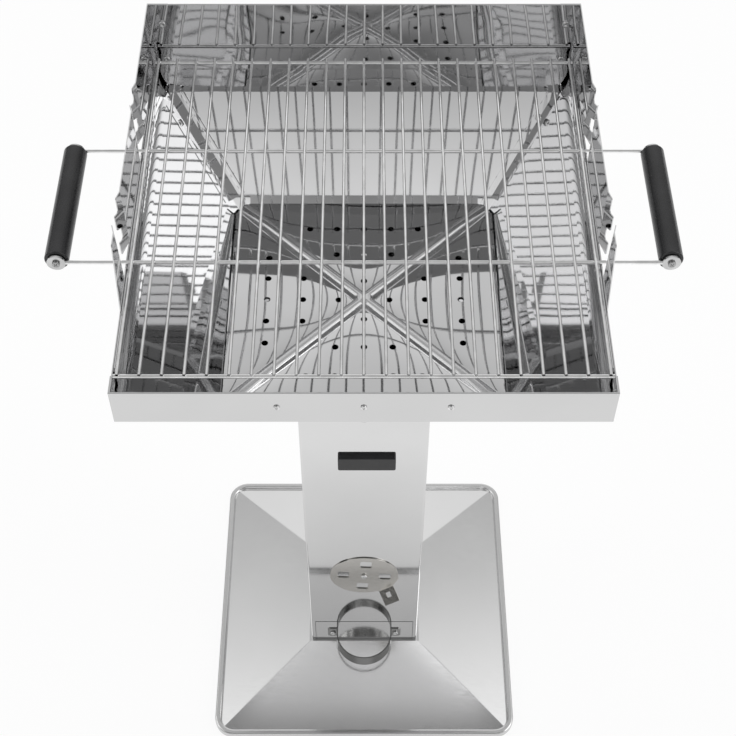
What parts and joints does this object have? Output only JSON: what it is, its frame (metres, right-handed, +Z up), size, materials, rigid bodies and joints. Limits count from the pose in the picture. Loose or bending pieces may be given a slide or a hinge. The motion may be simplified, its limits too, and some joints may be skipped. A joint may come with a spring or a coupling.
{
  "type": "charcoal grill pedestal",
  "caption": "Free-standing square charcoal grill on a column, with wind guard, lift-off grate, charcoal tray, ash drawer, air damper and stamped base.",
  "frame": {"origin": "on the floor, under the centre of the column and of the base plate", "axes": "+X to the right of a person facing the grill, +Y away from them towards the tall rear wall, +Z up; the air damper, the ash drawer and the low apron face -Y"},
  "size_m": [0.6114, 0.4646, 0.876],
  "materials": {
    "satin_steel": "fine brushed satin",
    "column_steel": "half-bright sheet",
    "mirror_steel": "bright annealed, mirror-like",
    "damper_steel": "satin",
    "plated_wire": "bright plated",
    "fastener_steel": "bright",
    "grip_black": "matte"
  },
  "bodies": {
    "stand": {"apron_corner_rivets": "fastener_steel", "base_bolts": "fastener_steel", "base_nuts": "fastener_steel", "base_plate": "satin_steel", "column_front_shell": "column_steel", "column_rear_panel": "column_steel", "column_rivets": "fastener_steel", "drawer_rail_left": "column_steel", "drawer_rail_right": "column_steel", "drawer_rail_rivets": "fastener_steel", "front_apron": "satin_steel", "front_frame_rivets": "fastener_steel", "funnel_front_panel": "mirror_steel", "funnel_left_panel": "mirror_steel", "funnel_neck_nuts": "fastener_steel", "funnel_neck_screws": "fastener_steel", "funnel_rear_panel": "mirror_steel", "funnel_right_panel": "mirror_steel", "funnel_seam_nuts": "fastener_steel", "funnel_seam_screws": "fastener_steel", "left_frame_rivets": "fastener_steel", "rear_corner_bolts": "fastener_steel", "rear_corner_nuts": "fastener_steel", "rear_frame_rivets": "fastener_steel", "rear_wall": "mirror_steel", "right_frame_rivets": "fastener_steel", "side_wall_left": "mirror_steel", "side_wall_right": "mirror_steel", "vent_nut": "fastener_steel", "vent_screw": "fastener_steel"},
    "grate": {"grate_bars": "plated_wire", "grate_cross_bars": "plated_wire", "handle_rod_front": "plated_wire", "handle_rod_rear": "plated_wire", "rod_eyes": "plated_wire", "grip_left": "grip_black", "grip_right": "grip_black", "grip_bolts": "fastener_steel", "grip_nuts": "fastener_steel"},
    "tray": {"charcoal_tray": "mirror_steel"},
    "drawer": {"ash_drawer_box": "column_steel", "ash_drawer_front": "column_steel", "drawer_handle": "mirror_steel", "drawer_handle_screws": "fastener_steel", "drawer_handle_nuts": "fastener_steel"},
    "damper": {"vent_disc": "damper_steel"}
  },
  "joints": [
    {"name": "grate_lift", "type": "slide", "parent": "stand", "child": "grate", "axis": [0, 0, 1], "range_m": [0, 0.12]},
    {"name": "tray_lift", "type": "slide", "parent": "stand", "child": "tray", "axis": [0, 0, 1], "range_m": [0, 0.1]},
    {"name": "drawer_slide", "type": "slide", "parent": "stand", "child": "drawer", "axis": [0, -1, 0], "range_m": [0, 0.11]},
    {"name": "damper_turn", "type": "hinge", "parent": "stand", "child": "damper", "pos_m": [0, -0.0733, 0.213], "axis": [0, -1, 0], "continuous": true}
  ]
}
